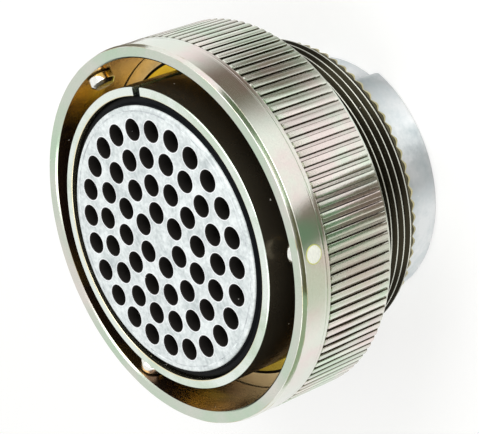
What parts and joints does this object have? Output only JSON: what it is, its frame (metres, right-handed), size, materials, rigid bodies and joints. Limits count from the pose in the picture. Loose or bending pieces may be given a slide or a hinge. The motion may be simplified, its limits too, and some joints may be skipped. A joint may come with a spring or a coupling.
{
  "type": "circular connector plug",
  "caption": "Round multi-contact plug with a knurled, spring-loaded bayonet ring, a keyed barrel, a threaded rear shell with locking teeth and a wire grommet.",
  "frame": {"origin": "centre of the wire grommet's rear face", "axes": "+Z along the plug's axis and out of the mating face, +Y towards the keyway"},
  "size_m": [0.07, 0.07, 0.045],
  "materials": {
    "ring_alloy": "plated and passivated, satin, with a faint olive and pink cast",
    "pin_steel": "bright passivated steel",
    "retaining_steel": "yellow passivated steel",
    "spring_steel": "hardened spring steel",
    "washer_steel": "ground steel",
    "shell_alloy": "plated and passivated, satin, olive",
    "seal_rubber": "moulded black rubber",
    "insert_plastic": "moulded pale grey",
    "plate_plastic": "moulded dark grey",
    "clip_copper": "stamped copper alloy",
    "grommet_rubber": "moulded pale blue-grey silicone",
    "retainer_steel": "spring steel"
  },
  "bodies": {
    "plug": {"plug_shell": "shell_alloy", "peripheral_seal": "seal_rubber", "front_insert": "insert_plastic", "retention_plate": "plate_plastic", "retention_clips_1": "clip_copper", "retention_clips_2": "clip_copper", "retention_clips_3": "clip_copper", "retention_clips_4": "clip_copper", "wire_grommet": "grommet_rubber", "insert_retainer": "retainer_steel", "wave_spring": "spring_steel"},
    "thrust": {"thrust_washer": "washer_steel"},
    "coupling": {"coupling_ring": "ring_alloy", "bayonet_pin_1": "pin_steel", "bayonet_pin_2": "pin_steel", "bayonet_pin_3": "pin_steel", "retaining_ring": "retaining_steel"}
  },
  "joints": [
    {"name": "ring_float", "type": "slide", "parent": "plug", "child": "thrust", "axis": [0, 0, 1], "range_m": [0, 0.0008], "stiffness_N_per_m": 8000, "springref_m": -0.001, "deforming": ["wave_spring"]},
    {"name": "ring_turn", "type": "hinge", "parent": "thrust", "child": "coupling", "pos_m": [0, 0, 0.033], "axis": [0, 0, 1], "continuous": true}
  ]
}
